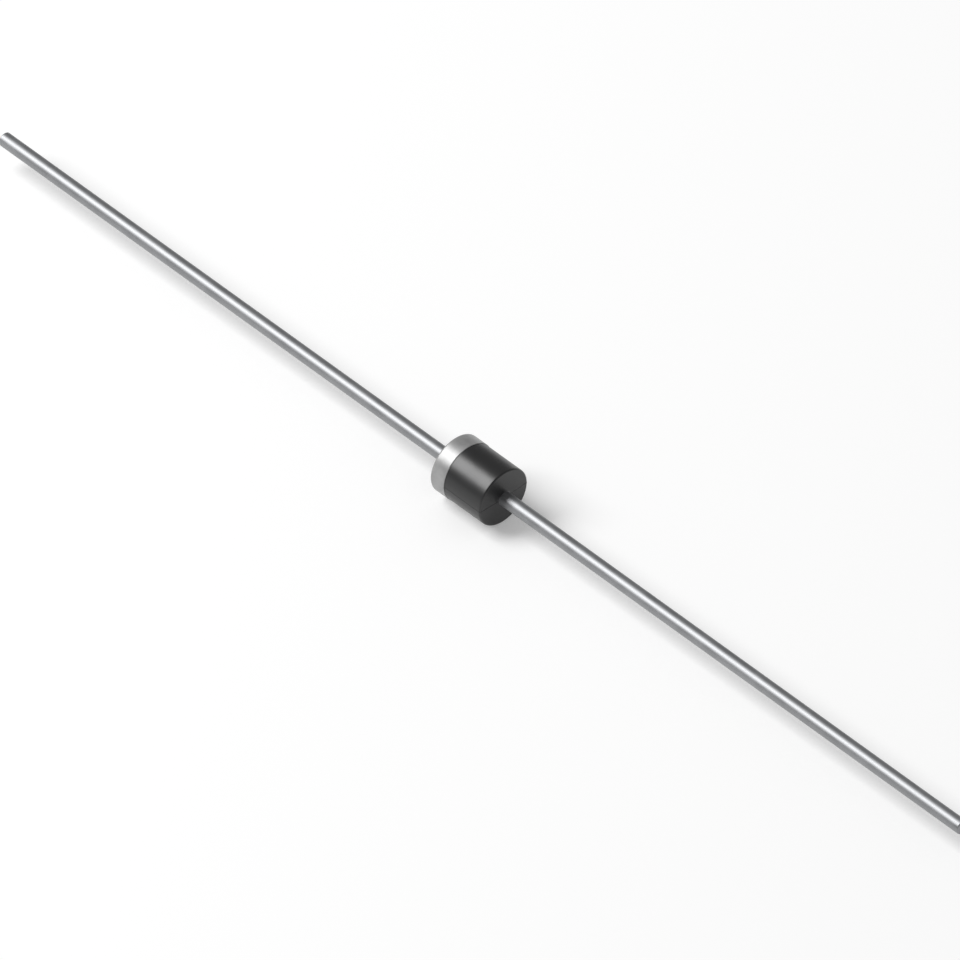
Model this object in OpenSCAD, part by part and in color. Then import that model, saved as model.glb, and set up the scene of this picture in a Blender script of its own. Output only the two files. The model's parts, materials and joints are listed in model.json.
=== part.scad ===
// Axial rectifier diode in a small moulded case, in millimetres.
// The leads lie along X, with the cathode at -X and the anode at +X.
// The origin is the middle of the case, on the lead axis.
// Two nail-headed leads clasp a soldered silicon die. A bead of resin seals the edge of the die,
// the case is moulded round all of it, and a printed band marks the cathode end.

/* [Case] */
// Diameter of the moulded case
case_d = 2.6; // [2.4:0.05:3.2]
// Length of the case, measured where the leads come out
case_len = 2.9; // [2.4:0.05:3.6]
// Radius of the edge between the side and each end face
case_edge_r = 0.07; // [0.03:0.01:0.15]
// Angle in degrees at which each end face leans back to its rim, so that the mould lets go
end_draft = 2.5; // [0:0.5:5]
// Width of the flash line that the parting of the mould leaves
flash_w = 0.03; // [0.02:0.01:0.06]
// How far that line stands out from the case
flash_h = 0.008; // [0.004:0.001:0.01]

/* [Cathode band] */
// Width of the printed band, from the cathode end of the case
band_w = 0.82; // [0.5:0.01:1.1]
// Thickness of the ink
band_t = 0.018; // [0.012:0.001:0.03]

/* [Leads] */
// Diameter of the tinned copper wire
lead_d = 0.62; // [0.5:0.01:0.7]
// Length of each lead outside the case
lead_len = 26; // [20:0.5:32]
// Chamfer round the cut tip of each lead
tip_chamfer = 0.05; // [0.02:0.01:0.1]
// Diameter of the nail head that is upset on the inner end of the wire
head_d = 1.4; // [1.3:0.02:1.5]
// Thickness of the nail head
head_t = 0.3; // [0.25:0.01:0.4]
// Radius of the round on the head's rim
head_rim_r = 0.06; // [0.03:0.01:0.1]
// Diameter of the neck where it meets the back of the head
neck_d = 0.86; // [0.75:0.01:1]
// Length over which the neck tapers down to the wire
neck_len = 0.85; // [0.3:0.05:0.9]

/* [Die and solder] */
// Width of the square silicon die
die_w = 0.88; // [0.7:0.02:0.9]
// Thickness of the die
die_t = 0.25; // [0.2:0.01:0.3]
// How far the etch has cut each edge of the die back at its anode face
die_bevel = 0.08; // [0.02:0.01:0.12]
// Thickness of each solder joint
solder_t = 0.05; // [0.03:0.01:0.08]

/* [Junction coating] */
// How far the bead laps over the rim of each nail head
coat_lap = 0.2; // [0.1:0.01:0.22]
// Height of the bead's crown above the rims
coat_h = 0.2; // [0.1:0.01:0.3]

/* [Hidden] */
$fn = 96;

CATHODE = -1;
ANODE = 1;
PAST = 1;  // how far a cutting shape runs past what it cuts

// Radii
case_r = case_d / 2;
lead_r = lead_d / 2;
neck_r = neck_d / 2;
head_r = head_d / 2;

// Places along X, from the middle of the die outwards
die_half = die_t / 2;
head_face = die_half + solder_t;
head_back = head_face + head_t;
coat_half = head_face + coat_lap;
case_half = case_len / 2;
lead_tip = case_half + lead_len;

// Each end face is a low cone. Its point would lie inside the lead.
cone_point = case_half + lead_r * tan(end_draft);

// Centre of the round on the case's edge, which touches the side and the leaning end face
edge_centre_r = case_r - case_edge_r;
edge_centre_x = cone_point - edge_centre_r * tan(end_draft) - case_edge_r / cos(end_draft);

// Radius and centre of the arc that the bead's crown follows from rim to rim
coat_arc_r = (pow(coat_half, 2) + pow(coat_h, 2)) / (2 * coat_h);
coat_arc_centre = head_r + coat_h - coat_arc_r;

// Every round piece is a half section turned about the leads. A section has its radius along X
// and its place along the leads in Y.
module turned() {
    rotate([0, 90, 0]) rotate_extrude() children();
}

// Pieces are drawn on the anode side and mirrored to the cathode side.
module on_side(side) {
    if (side == CATHODE) mirror([1, 0, 0]) children();
    else children();
}

/* The moulded case */

// Half section of the case, grown by the thickness of a skin that lies on it.
module case_section(skin = 0) {
    edge_r = case_edge_r + skin;
    end = cone_point + skin / cos(end_draft);
    touch = [edge_centre_r + edge_r * sin(end_draft), edge_centre_x + edge_r * cos(end_draft)];
    polygon([
        [0, -end],
        [touch.x, -touch.y],
        [edge_centre_r, -edge_centre_x],
        [case_r + skin, -edge_centre_x],
        [case_r + skin, edge_centre_x],
        [edge_centre_r, edge_centre_x],
        touch,
        [0, end]
    ]);
    for (y = [-edge_centre_x, edge_centre_x]) translate([edge_centre_r, y]) circle(edge_r);
}

// The mould parts on the plane through both leads, and leaves a fine line all round there.
module flash() {
    linear_extrude(flash_w, center = true)
        for (turn = [90, 270]) rotate(turn) case_section(flash_h);
}

module case_outside() {
    turned() case_section();
    flash();
}

// The epoxy fills all the room round the leads and the bead.
module case() {
    color([0.16, 0.16, 0.17]) difference() {
        case_outside();
        turned() coat_section();
        for (side = [CATHODE, ANODE]) on_side(side) turned() lead_section();
    }
}

// The ink lies on the side and on the round of the edge, over the flash.
module cathode_band() {
    color([0.86, 0.86, 0.86]) difference() {
        turned() intersection() {
            case_section(band_t);
            translate([edge_centre_r, -case_half - PAST]) square([PAST, band_w + PAST]);
        }
        case_outside();
    }
}

/* Leads */

// Half section of a lead: the wire with its cut tip, and the nail head with its tapered neck.
module lead_section() {
    polygon([
        [0, head_face],
        [neck_r, head_face],
        [neck_r, head_back],
        [lead_r, head_back + neck_len],
        [lead_r, lead_tip - tip_chamfer],
        [lead_r - tip_chamfer, lead_tip],
        [0, lead_tip]
    ]);
    translate([0, head_face]) square([head_r - head_rim_r, head_t]);
    translate([0, head_face + head_rim_r]) square([head_r, head_t - 2 * head_rim_r]);
    for (y = [head_face + head_rim_r, head_back - head_rim_r])
        translate([head_r - head_rim_r, y]) circle(head_rim_r);
}

module lead(side) {
    color([0.78, 0.78, 0.79]) on_side(side) turned() lead_section();
}

/* Die, solder and junction coating */

// Side view of the die: upright to mid-thickness, then etched back to the anode face.
module die_side() {
    cut_w = die_w / 2 - die_bevel;
    polygon([
        [-die_half, -die_w / 2],
        [0, -die_w / 2],
        [die_half, -cut_w],
        [die_half, cut_w],
        [0, die_w / 2],
        [-die_half, die_w / 2]
    ]);
}

module silicon_die() {
    color([0.35, 0.38, 0.42]) intersection() {
        linear_extrude(die_w, center = true) die_side();
        rotate([90, 0, 0]) linear_extrude(die_w, center = true) die_side();
    }
}

// The solder spreads from the width of the die's face to the flat of the nail head.
module solder(side, face_w) {
    color([0.6, 0.61, 0.63]) on_side(side)
        translate([die_half, 0, 0]) rotate([0, 90, 0])
            cylinder(h = solder_t, r1 = face_w / 2, r2 = head_r - head_rim_r);
}

module cathode_solder() {
    solder(CATHODE, die_w);
}

module anode_solder() {
    solder(ANODE, die_w - 2 * die_bevel);
}

// Half section of the whole bead, as if it had nothing inside.
module coat_section() {
    translate([0, -coat_half]) square([head_r, 2 * coat_half]);
    intersection() {
        translate([coat_arc_centre, 0]) circle(coat_arc_r);
        translate([0, -coat_half]) square([head_r + coat_h, 2 * coat_half]);
    }
}

module junction_coating() {
    color([0.93, 0.92, 0.86]) difference() {
        turned() coat_section();
        for (side = [CATHODE, ANODE]) on_side(side) turned() lead_section();
        cathode_solder();
        silicon_die();
        anode_solder();
    }
}

case();
cathode_band();
lead(CATHODE);  // cathode_lead
lead(ANODE);  // anode_lead
silicon_die();
cathode_solder();
anode_solder();
junction_coating();
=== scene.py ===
"""Small axial rectifier diode: the finish of every piece, on a pale table under soft light."""

import json
import math

import bpy
from mathutils import Matrix, Vector, noise


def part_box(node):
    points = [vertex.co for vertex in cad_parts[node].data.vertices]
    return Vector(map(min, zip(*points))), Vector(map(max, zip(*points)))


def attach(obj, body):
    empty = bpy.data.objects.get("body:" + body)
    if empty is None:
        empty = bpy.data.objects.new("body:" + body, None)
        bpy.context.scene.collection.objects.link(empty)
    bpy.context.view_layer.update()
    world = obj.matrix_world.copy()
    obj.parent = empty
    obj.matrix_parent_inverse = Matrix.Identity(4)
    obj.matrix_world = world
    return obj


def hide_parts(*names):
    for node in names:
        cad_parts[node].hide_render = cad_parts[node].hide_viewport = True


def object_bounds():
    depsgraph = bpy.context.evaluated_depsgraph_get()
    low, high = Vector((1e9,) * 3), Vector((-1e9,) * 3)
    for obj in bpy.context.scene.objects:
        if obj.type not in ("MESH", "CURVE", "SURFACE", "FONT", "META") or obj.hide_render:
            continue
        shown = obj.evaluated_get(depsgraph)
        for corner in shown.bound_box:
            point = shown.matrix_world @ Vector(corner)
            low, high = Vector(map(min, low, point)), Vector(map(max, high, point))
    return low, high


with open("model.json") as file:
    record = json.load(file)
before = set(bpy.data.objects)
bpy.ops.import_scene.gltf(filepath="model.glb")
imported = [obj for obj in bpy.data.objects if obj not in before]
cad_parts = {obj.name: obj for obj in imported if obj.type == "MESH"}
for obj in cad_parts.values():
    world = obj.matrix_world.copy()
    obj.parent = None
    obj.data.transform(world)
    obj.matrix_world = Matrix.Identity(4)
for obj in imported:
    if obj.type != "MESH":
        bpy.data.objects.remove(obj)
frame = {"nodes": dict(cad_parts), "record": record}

cad_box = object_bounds()

# ---------------------------------------------------------------------------------------------
# Silicon die. A square chip sawn from a wafer, with its p-n junction halfway down. Both faces are
# metallised for soldering, and an acid etch has frosted the edges.

MM = 0.001


def colour(srgb):
    """A linear colour from an sRGB hex value."""
    levels = [int(srgb[i:i + 2], 16) / 255 for i in (1, 3, 5)]
    linear = [v / 12.92 if v <= 0.04045 else ((v + 0.055) / 1.055) ** 2.4 for v in levels]
    return (*linear, 1.0)


def add(material, kind, settings=None, inputs=None):
    """Adds a shader node, sets it up, and links each input that is given as a socket."""
    tree = material.node_tree
    node = tree.nodes.new("ShaderNode" + kind)
    for name, value in (settings or {}).items():
        setattr(node, name, value)
    for name, value in (inputs or {}).items():
        if isinstance(value, bpy.types.NodeSocket):
            tree.links.new(value, node.inputs[name])
        else:
            node.inputs[name].default_value = value
    return node


def new_material(name):
    """An empty node material, with its surface output."""
    material = bpy.data.materials.new(name)
    material.use_nodes = True
    material.node_tree.nodes.clear()
    return material, material.node_tree.nodes.new("ShaderNodeOutputMaterial")


def surface(material, output, shader):
    material.node_tree.links.new(shader.outputs[0], output.inputs["Surface"])


def finish_node(node_name, material):
    """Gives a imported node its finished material."""
    for holder in frame["nodes"][node_name].material_slots:
        holder.material = material


# Etched silicon: a cold dark grey with a metal-like shine, dulled by pits about 12 microns across.
silicon, silicon_out = new_material("etched_silicon")
ETCH_PIT = 0.012 * MM
place = add(silicon, "TexCoord")
pits = add(silicon, "TexNoise", inputs={
    "Vector": place.outputs["Object"], "Scale": 1 / ETCH_PIT, "Detail": 3})
silicon_tone = add(silicon, "ValToRGB", inputs={"Fac": pits.outputs["Fac"]})
silicon_tone.color_ramp.elements[0].color = colour("#3A3F48")
silicon_tone.color_ramp.elements[1].color = colour("#5C6470")
silicon_bump = add(silicon, "Bump", inputs={
    "Height": pits.outputs["Fac"], "Strength": 0.4, "Distance": 0.2 * ETCH_PIT})
surface(silicon, silicon_out, add(silicon, "BsdfPrincipled", inputs={
    "Base Color": silicon_tone.outputs["Color"], "Metallic": 0.8, "Roughness": 0.32,
    "Normal": silicon_bump.outputs["Normal"]}))
finish_node("silicon_die", silicon)

# ---------------------------------------------------------------------------------------------
# Solder joints. Two thin discs of soft solder, melted between the die and the nail heads in the
# furnace, one on each side.

# Reflowed solder: a dull silver skin with grains of about 0.05 mm where it froze.
solder, solder_out = new_material("reflowed_solder")
SOLDER_GRAIN = 0.05 * MM
place = add(solder, "TexCoord")
grains = add(solder, "TexVoronoi", inputs={
    "Vector": place.outputs["Object"], "Scale": 1 / SOLDER_GRAIN})
solder_tone = add(solder, "ValToRGB", inputs={"Fac": grains.outputs["Distance"]})
solder_tone.color_ramp.elements[0].color = colour("#B2B4B8")
solder_tone.color_ramp.elements[1].color = colour("#8D9095")
solder_bump = add(solder, "Bump", inputs={
    "Height": grains.outputs["Distance"], "Strength": 0.3, "Distance": 0.05 * SOLDER_GRAIN})
surface(solder, solder_out, add(solder, "BsdfPrincipled", inputs={
    "Base Color": solder_tone.outputs["Color"], "Metallic": 1.0, "Roughness": 0.42,
    "Normal": solder_bump.outputs["Normal"]}))
for joint in ("cathode_solder", "anode_solder"):
    finish_node(joint, solder)

# ---------------------------------------------------------------------------------------------
# Junction coating. A drop of silicone resin run round the edge of the die and the rims of both
# nail heads, then cured, so that damp can't reach the junction.

# Cured silicone: smooth, waxy and slightly cloudy, so light goes a little way in.
resin, resin_out = new_material("cured_silicone_resin")
RESIN_CLOUD = 0.25 * MM
place = add(resin, "TexCoord")
clouds = add(resin, "TexNoise", inputs={
    "Vector": place.outputs["Object"], "Scale": 1 / RESIN_CLOUD, "Detail": 2})
resin_tone = add(resin, "ValToRGB", inputs={"Fac": clouds.outputs["Fac"]})
resin_tone.color_ramp.elements[0].color = colour("#E6E0C8")
resin_tone.color_ramp.elements[1].color = colour("#F2EEDF")
surface(resin, resin_out, add(resin, "BsdfPrincipled", inputs={
    "Base Color": resin_tone.outputs["Color"], "Roughness": 0.3, "IOR": 1.41,
    "Subsurface Weight": 0.3, "Subsurface Radius": (1.0, 0.8, 0.5), "Subsurface Scale": 0.15 * MM}))
finish_node("junction_coating", resin)

# ---------------------------------------------------------------------------------------------
# Leads. Copper wire plated with tin. Its inner end was upset into a nail head with a tapered neck,
# and its outer end was sheared off, which rolls one edge over and leaves a small burr opposite.

SHARP_ANGLE = 40


def turned(name, profile, angles, wander=None):
    """A mesh turned about X. The profile is (place along X, radius) points, which either end on
    the axis or, where they don't, close up as a ring. wander(x, r, angle) may move each point."""
    to_axis = profile[0][1] == 0
    vertices, rings = [], []
    for x, r in profile:
        ring = []
        for angle in angles if r > 0 else angles[:1]:
            px, pr = wander(x, r, angle) if wander else (x, r)
            ring.append(len(vertices))
            vertices.append((px * MM, pr * math.cos(angle) * MM, pr * math.sin(angle) * MM))
        rings.append(ring)
    pairs = list(zip(rings, rings[1:]))
    if not to_axis:
        pairs.append((rings[-1], rings[0]))
    faces = []
    for near, far in pairs:
        for i in range(len(angles)):
            j = (i + 1) % len(angles)
            corners = [near[i % len(near)], near[j % len(near)], far[j % len(far)], far[i % len(far)]]
            faces.append(list(dict.fromkeys(corners)))
    mesh = bpy.data.meshes.new(name)
    mesh.from_pydata(vertices, [], faces)
    mesh.validate()
    mesh.shade_smooth()
    mesh.set_sharp_from_angle(angle=math.radians(SHARP_ANGLE))
    piece = bpy.data.objects.new(name, mesh)
    bpy.context.scene.collection.objects.link(piece)
    return piece


def arc(centre_x, centre_r, radius, start, end, steps=8):
    """Profile points on an arc, with its angles in degrees from +X towards the outside."""
    turns = [math.radians(start + (end - start) * i / steps) for i in range(steps + 1)]
    return [(centre_x + radius * math.cos(t), centre_r + radius * math.sin(t)) for t in turns]


def dress(piece, node, material):
    """Puts a piece in its node's place, with its material."""
    piece.data.materials.append(material)
    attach(piece, "root")
    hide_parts(node)


lead_mount = next(m for m in frame["record"]["mounts"] if m["name"] == "anode_lead_pin")
lead_low, lead_high = (corner / MM for corner in map(Vector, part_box("anode_lead")))
LEAD_R = lead_mount["dims"]["r_mm"]
HEAD_FACE = lead_low.x
LEAD_TIP = lead_high.x
HEAD_R = lead_high.z
HEAD_T = 0.3
HEAD_RIM_R = 0.06
NECK_R = 0.43
NECK_LEN = 0.85
TIP_ROLL = 0.05
CUT_LEAN = 0.012
BURR_SHARE = 0.2
LEAD_SIDES = 96
LEAD_RINGS = 80

head_back = HEAD_FACE + HEAD_T
neck_end = head_back + NECK_LEN
rim_r = HEAD_R - HEAD_RIM_R
wire_end = LEAD_TIP - TIP_ROLL

nail_head = [(HEAD_FACE, 0), (HEAD_FACE, rim_r * 0.5)]
nail_head += arc(HEAD_FACE + HEAD_RIM_R, rim_r, HEAD_RIM_R, 180, 90)
nail_head += arc(head_back - HEAD_RIM_R, rim_r, HEAD_RIM_R, 90, 0)
neck = [(head_back, NECK_R), (neck_end, LEAD_R)]
wire = [(neck_end + (wire_end - neck_end) * i / LEAD_RINGS, LEAD_R) for i in range(1, LEAD_RINGS)]
cut_tip = arc(wire_end, LEAD_R - TIP_ROLL, TIP_ROLL, 90, 0)
cut_tip += [(LEAD_TIP, LEAD_R * 0.4), (LEAD_TIP, 0)]


def sheared(x, r, angle):
    """The cutter came from above: it rolled the top edge over and drew a burr out below."""
    if x > wire_end and r > 0:
        from_top = (1 + math.sin(angle)) / 2
        reach = (r / LEAD_R) ** 2
        x += CUT_LEAN * reach * (BURR_SHARE - (1 + BURR_SHARE) * from_top)
    return x, r


# Tinned copper: drawn wire under satin tin, so its highlight is broad and soft. The drawing die left
# lines along it about 0.02 mm apart, made here 0.04 mm apart so that they show, and the tin has
# dulled in soft patches.
tin, tin_out = new_material("satin_tin_on_drawn_copper")
DRAW_LINE = 0.04 * MM
LINE_RUN = 6 * MM
TIN_PATCH = 0.7 * MM
place = add(tin, "TexCoord")
along = add(tin, "Mapping", inputs={
    "Vector": place.outputs["Object"], "Scale": (1 / LINE_RUN, 1 / DRAW_LINE, 1 / DRAW_LINE)})
lines = add(tin, "TexNoise", inputs={"Vector": along.outputs["Vector"], "Scale": 1.0, "Detail": 2})
patches = add(tin, "TexNoise", inputs={
    "Vector": place.outputs["Object"], "Scale": 1 / TIN_PATCH, "Detail": 4})
tin_tone = add(tin, "ValToRGB", inputs={"Fac": patches.outputs["Fac"]})
tin_tone.color_ramp.elements[0].position = 0.3
tin_tone.color_ramp.elements[0].color = colour("#929395")
tin_tone.color_ramp.elements[1].position = 0.7
tin_tone.color_ramp.elements[1].color = colour("#9E9FA1")
tin_rough = add(tin, "MapRange", inputs={
    "Value": patches.outputs["Fac"], "To Min": 0.44, "To Max": 0.54})
tin_bump = add(tin, "Bump", inputs={
    "Height": lines.outputs["Fac"], "Strength": 0.15, "Distance": 0.02 * DRAW_LINE})
surface(tin, tin_out, add(tin, "BsdfPrincipled", inputs={
    "Base Color": tin_tone.outputs["Color"], "Metallic": 1.0, "Roughness": tin_rough.outputs["Result"],
    "Normal": tin_bump.outputs["Normal"]}))

lead_angles = [2 * math.pi * i / LEAD_SIDES for i in range(LEAD_SIDES)]
for node_name, side in (("cathode_lead", -1), ("anode_lead", 1)):
    lead = turned("tinned_" + node_name, nail_head + neck + wire + cut_tip, lead_angles, sheared)
    lead.data.transform(Matrix.Scale(side, 4, (1, 0, 0)))
    if side < 0:
        lead.data.flip_normals()
    dress(lead, node_name, tin)

# ---------------------------------------------------------------------------------------------
# Case. Filled black epoxy, transfer-moulded round the leads, the die and its coating. The mould
# parts on the plane through the leads and leaves a fine line of flash all round there.

case_high = Vector(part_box("case")[1]) / MM
coat_high = Vector(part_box("junction_coating")[1]) / MM
CASE_R = case_high.z
EDGE_R = 0.07
END_DRAFT = math.radians(2.5)
FLASH_W = 0.03
FLASH_H = case_high.y - CASE_R
CASE_HALF = case_high.x - FLASH_H
COLLAR_H = 0.015
COLLAR_W = 0.04
CASE_SIDES = 160
FACE_RINGS = 14
SIDE_RINGS = 48
COAT_HALF = coat_high.x
COAT_H = coat_high.z - HEAD_R
UNEVEN_H = 0.0012
UNEVEN_SPAN = 0.35

edge_r = CASE_R - EDGE_R
edge_x = CASE_HALF - (edge_r - LEAD_R) * math.tan(END_DRAFT) - EDGE_R / math.cos(END_DRAFT)
coat_arc_r = (COAT_HALF ** 2 + COAT_H ** 2) / (2 * COAT_H)
coat_spread = math.degrees(math.asin(COAT_HALF / coat_arc_r))


def end_face(r):
    """Where the drafted end face lies at a radius, with the resin that crept up the lead."""
    creep = max(0.0, 1 - (r - LEAD_R) / COLLAR_W)
    return CASE_HALF - (r - LEAD_R) * math.tan(END_DRAFT) + COLLAR_H * creep ** 2


draft = math.degrees(END_DRAFT)
face_run = edge_r - LEAD_R - COLLAR_W
end_steps = [COLLAR_W * i / 4 for i in range(5)]
end_steps += [COLLAR_W + face_run * i / FACE_RINGS for i in range(1, FACE_RINGS + 1)]
plain_end = [(end_face(LEAD_R + step), LEAD_R + step) for step in end_steps]
plain_end += arc(edge_x, edge_r, EDGE_R, draft, 90)
side_run = [(edge_x - 2 * edge_x * i / SIDE_RINGS, CASE_R) for i in range(1, SIDE_RINGS // 2)]
outer_half = plain_end + side_run
outside = [(-x, r) for x, r in outer_half] + [(0, CASE_R)] + outer_half[::-1]
seat_half = [(neck_end, LEAD_R), (head_back, NECK_R)]
seat_half += arc(head_back - HEAD_RIM_R, rim_r, HEAD_RIM_R, 0, 90)
seat_half += arc(0, HEAD_R + COAT_H - coat_arc_r, coat_arc_r, 90 - coat_spread, 90)
seat = seat_half + [(-x, r) for x, r in seat_half[-2::-1]]
seat_points = set(seat)

# The angles are close together at the parting plane, where the flash is.
fan = [0.0, 0.003, 0.006, 0.009, 0.012, 0.016, 0.022, 0.03, 0.045, 0.065]
near_parting = sorted({offset * sign for offset in fan for sign in (-1, 1)})
between = [i * math.pi / (CASE_SIDES / 2) for i in range(4, CASE_SIDES // 2 - 3)]
case_angles = [turn + angle for turn in (0, math.pi) for angle in near_parting + between]


def moulded(x, r, angle):
    """Raises the flash on the parting plane, and lets the skin wander by a micron or so."""
    if (x, r) in seat_points:
        return x, r
    out = Vector((abs(x) - edge_x if abs(x) > edge_x else 0, r - edge_r if r > edge_r else 0))
    if out.length == 0:
        out = Vector((1, 0))
    out.normalize()
    above = r * math.sin(angle)
    lift = FLASH_H * math.exp(-(above / (FLASH_W / 2)) ** 2)
    if r > LEAD_R + COLLAR_W:
        spot = Vector((x, r * math.cos(angle), above))
        lift += UNEVEN_H * noise.noise(spot / UNEVEN_SPAN)
    return x + math.copysign(out.x * lift, x), r + out.y * lift


# Filled epoxy: near black, with a soft sheen. The mould was spark-eroded to a grit of about
# 0.02 mm, drawn here at 0.05 mm so that it shows, and grains of silica filler make pale specks.
epoxy, epoxy_out = new_material("black_moulded_epoxy")
MOULD_GRIT = 0.05 * MM
FILLER = 0.03 * MM
FLOW = 0.9 * MM
place = add(epoxy, "TexCoord")
grit = add(epoxy, "TexNoise", inputs={
    "Vector": place.outputs["Object"], "Scale": 1 / MOULD_GRIT, "Detail": 3})
flow = add(epoxy, "TexNoise", inputs={
    "Vector": place.outputs["Object"], "Scale": 1 / FLOW, "Detail": 3})
filler = add(epoxy, "TexVoronoi", inputs={
    "Vector": place.outputs["Object"], "Scale": 1 / FILLER})
speck = add(epoxy, "MapRange", inputs={
    "Value": filler.outputs["Distance"], "From Min": 0.0, "From Max": 0.25,
    "To Min": 0.12, "To Max": 0.0})
epoxy_tone = add(epoxy, "ValToRGB", inputs={"Fac": flow.outputs["Fac"]})
epoxy_tone.color_ramp.elements[0].color = colour("#0F0F10")
epoxy_tone.color_ramp.elements[1].color = colour("#161617")
MIX_COLOURS = {"amount": 0, "first": 6, "second": 7, "result": 2}
specked = add(epoxy, "Mix", {"data_type": "RGBA"}, {
    MIX_COLOURS["amount"]: speck.outputs["Result"],
    MIX_COLOURS["first"]: epoxy_tone.outputs["Color"],
    MIX_COLOURS["second"]: colour("#5A5A5A")})
epoxy_rough = add(epoxy, "MapRange", inputs={
    "Value": flow.outputs["Fac"], "To Min": 0.32, "To Max": 0.4})
epoxy_bump = add(epoxy, "Bump", inputs={
    "Height": grit.outputs["Fac"], "Strength": 0.25, "Distance": 0.04 * MOULD_GRIT})
surface(epoxy, epoxy_out, add(epoxy, "BsdfPrincipled", inputs={
    "Base Color": specked.outputs[MIX_COLOURS["result"]],
    "Roughness": epoxy_rough.outputs["Result"], "IOR": 1.58,
    "Normal": epoxy_bump.outputs["Normal"]}))

case = turned("moulded_case", outside + seat, case_angles, moulded)
dress(case, "case", epoxy)

# ---------------------------------------------------------------------------------------------
# Cathode band. Silver-white ink, rolled on over the end of the case and its rounded edge. It is a
# skin of a few microns with a slightly ragged free edge.

band_high = Vector(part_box("cathode_band")[1]) / MM
INK_T = band_high.z - CASE_R
INK_BITE = 0.004
BAND_EDGE = band_high.x
INK_LIP = 0.012
INK_SHOULDER = 0.005
RAGGED = 0.011
RAGGED_REACH = 0.1
RAGGED_SPAN = 0.12
BAND_RINGS = 20
UNDER_RINGS = 4

ink_top = arc(-edge_x, edge_r, EDGE_R + INK_T, 180 - draft, 90)
ink_top += [(-edge_x + (BAND_EDGE - INK_LIP + edge_x) * i / BAND_RINGS, CASE_R + INK_T)
            for i in range(1, BAND_RINGS + 1)]
ink_top += [(BAND_EDGE - INK_SHOULDER, CASE_R + 0.8 * INK_T), (BAND_EDGE, CASE_R + 0.3 * INK_T)]
ink_under = [(BAND_EDGE, CASE_R - INK_BITE)]
ink_under += [(-edge_x + (BAND_EDGE + edge_x) * i / UNDER_RINGS, CASE_R - INK_BITE)
              for i in range(UNDER_RINGS - 1, 0, -1)]
ink_under += arc(-edge_x, edge_r, EDGE_R - INK_BITE, 90, 180 - draft)


def ragged(x, r, angle):
    """Lets the free edge of the ink wander, and nothing else."""
    near_edge = max(0.0, 1 - (BAND_EDGE - x) / RAGGED_REACH)
    spot = Vector((0, math.cos(angle), math.sin(angle))) * CASE_R / RAGGED_SPAN
    drift = noise.noise(spot) + 0.5 * noise.noise(spot * 3)
    return x + RAGGED * near_edge * (drift - 0.6), r


# Marking ink: silver-white and satin, a little thin in places so that the black dulls it.
ink, ink_out = new_material("silver_white_marking_ink")
INK_PATCH = 0.4 * MM
INK_PORE = 0.03 * MM
place = add(ink, "TexCoord")
cover = add(ink, "TexNoise", inputs={
    "Vector": place.outputs["Object"], "Scale": 1 / INK_PATCH, "Detail": 4})
pores = add(ink, "TexNoise", inputs={
    "Vector": place.outputs["Object"], "Scale": 1 / INK_PORE, "Detail": 2})
ink_tone = add(ink, "ValToRGB", inputs={"Fac": cover.outputs["Fac"]})
ink_tone.color_ramp.elements[0].position = 0.25
ink_tone.color_ramp.elements[0].color = colour("#959595")
ink_tone.color_ramp.elements[1].position = 0.6
ink_tone.color_ramp.elements[1].color = colour("#A6A6A6")
ink_bump = add(ink, "Bump", inputs={
    "Height": pores.outputs["Fac"], "Strength": 0.2, "Distance": 0.04 * INK_PORE})
surface(ink, ink_out, add(ink, "BsdfPrincipled", inputs={
    "Base Color": ink_tone.outputs["Color"], "Metallic": 0.5, "Roughness": 0.4,
    "Normal": ink_bump.outputs["Normal"]}))

band = turned("printed_cathode_band", ink_top + ink_under, case_angles, ragged)
dress(band, "cathode_band", ink)

# ---------------------------------------------------------------------------------------------
# Table and light. A plain white table, a soft lamp up on the left in front, and a grey room.

TABLE_HALF = 3.0
table_z = cad_box[0][2]
table_mesh = bpy.data.meshes.new("table_top")
table_mesh.from_pydata(
    [(x * TABLE_HALF, y * TABLE_HALF, table_z) for x, y in ((-1, -1), (1, -1), (1, 1), (-1, 1))],
    [], [(0, 1, 2, 3)])
table = bpy.data.objects.new("table_top", table_mesh)
bpy.context.scene.collection.objects.link(table)

# White laminate: matt and plain. It shows a little lighter than the lamp makes it, also in
# reflections, and sends none of that on to the diode as light.
GLOW = 0.24
laminate, laminate_out = new_material("white_table_laminate")
rays = add(laminate, "LightPath")
seen = add(laminate, "Math", {"operation": "MAXIMUM"}, {
    0: rays.outputs["Is Camera Ray"], 1: rays.outputs["Is Glossy Ray"]})
seen = add(laminate, "Math", {"operation": "MAXIMUM"}, {
    0: seen.outputs[0], 1: rays.outputs["Is Transmission Ray"]})
lit = add(laminate, "BsdfDiffuse", inputs={"Color": colour("#E9E9E9")})
lift = add(laminate, "Emission", inputs={"Color": colour("#FFFFFF"), "Strength": GLOW})
both = add(laminate, "AddShader", inputs={0: lit.outputs[0], 1: lift.outputs[0]})
surface(laminate, laminate_out, add(laminate, "MixShader", inputs={
    0: seen.outputs[0], 1: lit.outputs[0], 2: both.outputs[0]}))
table_mesh.materials.append(laminate)

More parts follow.
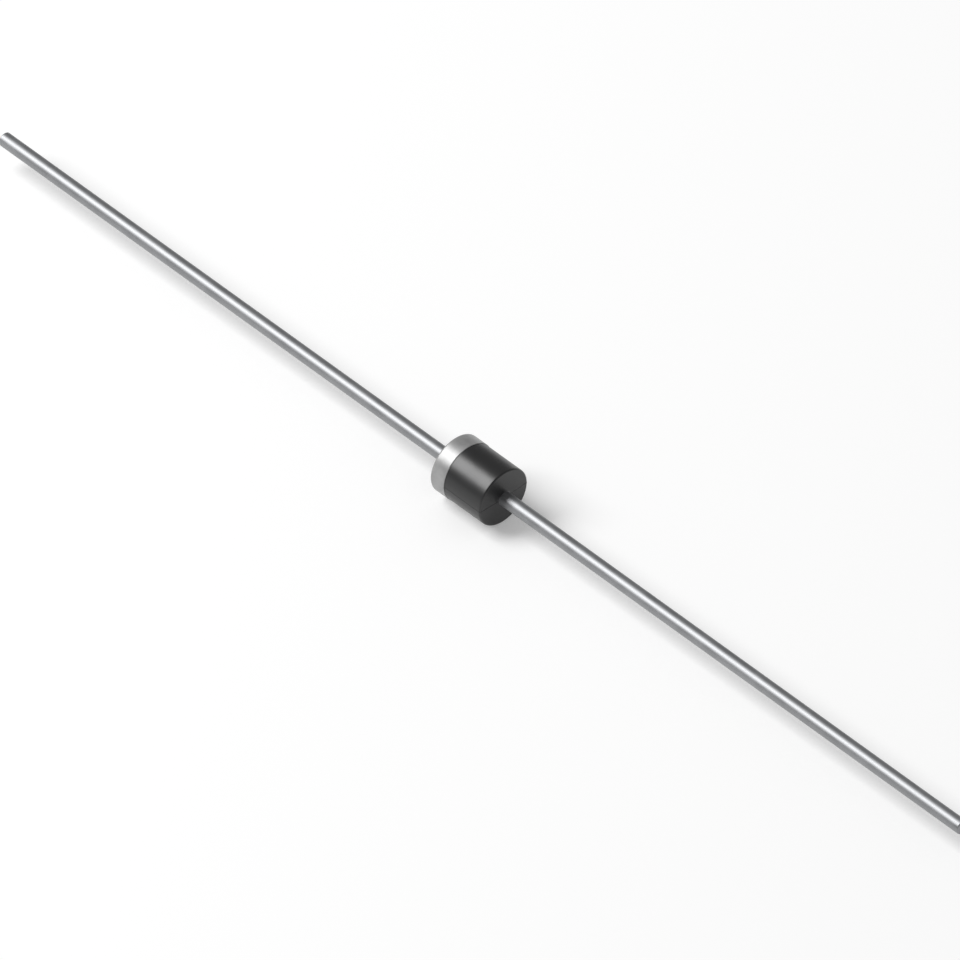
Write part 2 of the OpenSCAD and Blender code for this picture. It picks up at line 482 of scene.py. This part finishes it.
ROOM_LEVEL = 0.33
world = bpy.data.worlds.new("grey_room")
bpy.context.scene.world = world
world.use_nodes = True
room = world.node_tree.nodes["Background"]
room.inputs["Color"].default_value = colour("#FFFFFF")
room.inputs["Strength"].default_value = ROOM_LEVEL


# The softbox faces the diode, and its long side runs across the leads.
SOFTBOX_WAY = Vector((-0.531, -0.405, 0.744)).normalized()
SOFTBOX_DISTANCE = 0.5
SOFTBOX_ALONG = 0.2
SOFTBOX_ACROSS = 0.36
SOFTBOX_RADIANCE = 9.6
light = bpy.data.lights.new("softbox", "AREA")
light.shape = "RECTANGLE"
light.size = SOFTBOX_ALONG
light.size_y = SOFTBOX_ACROSS
light.energy = SOFTBOX_RADIANCE * math.pi * SOFTBOX_ALONG * SOFTBOX_ACROSS
across = Vector((1, 0, 0)).cross(SOFTBOX_WAY).normalized()
lamp = bpy.data.objects.new("softbox", light)
lamp.location = SOFTBOX_WAY * SOFTBOX_DISTANCE
lamp.rotation_euler = Matrix((across.cross(SOFTBOX_WAY), across, SOFTBOX_WAY)).transposed().to_euler()
bpy.context.scene.collection.objects.link(lamp)

# ---------------------------------------------------------------------------------------------
# Camera. It looks down on the diode from the anode end, through a long lens that leaves almost
# no perspective.

AZIMUTH = math.radians(46.52)
ELEVATION = math.radians(42.96)
LENS = 1500
SENSOR = 36
FRAME_WIDTH = 0.03782
to_camera = Vector((math.sin(AZIMUTH) * math.cos(ELEVATION),
                    -math.cos(AZIMUTH) * math.cos(ELEVATION), math.sin(ELEVATION)))
camera_data = bpy.data.cameras.new("camera")
camera_data.lens = LENS
camera_data.sensor_width = SENSOR
camera = bpy.data.objects.new("camera", camera_data)
camera.location = to_camera * (FRAME_WIDTH * LENS / SENSOR)
camera.rotation_euler = to_camera.to_track_quat("Z", "Y").to_euler()
camera_data.shift_x = 0.001
camera_data.clip_start = 0.01
camera_data.clip_end = 10
bpy.context.scene.collection.objects.link(camera)
bpy.context.scene.camera = camera
bpy.context.scene.view_settings.view_transform = "Standard"
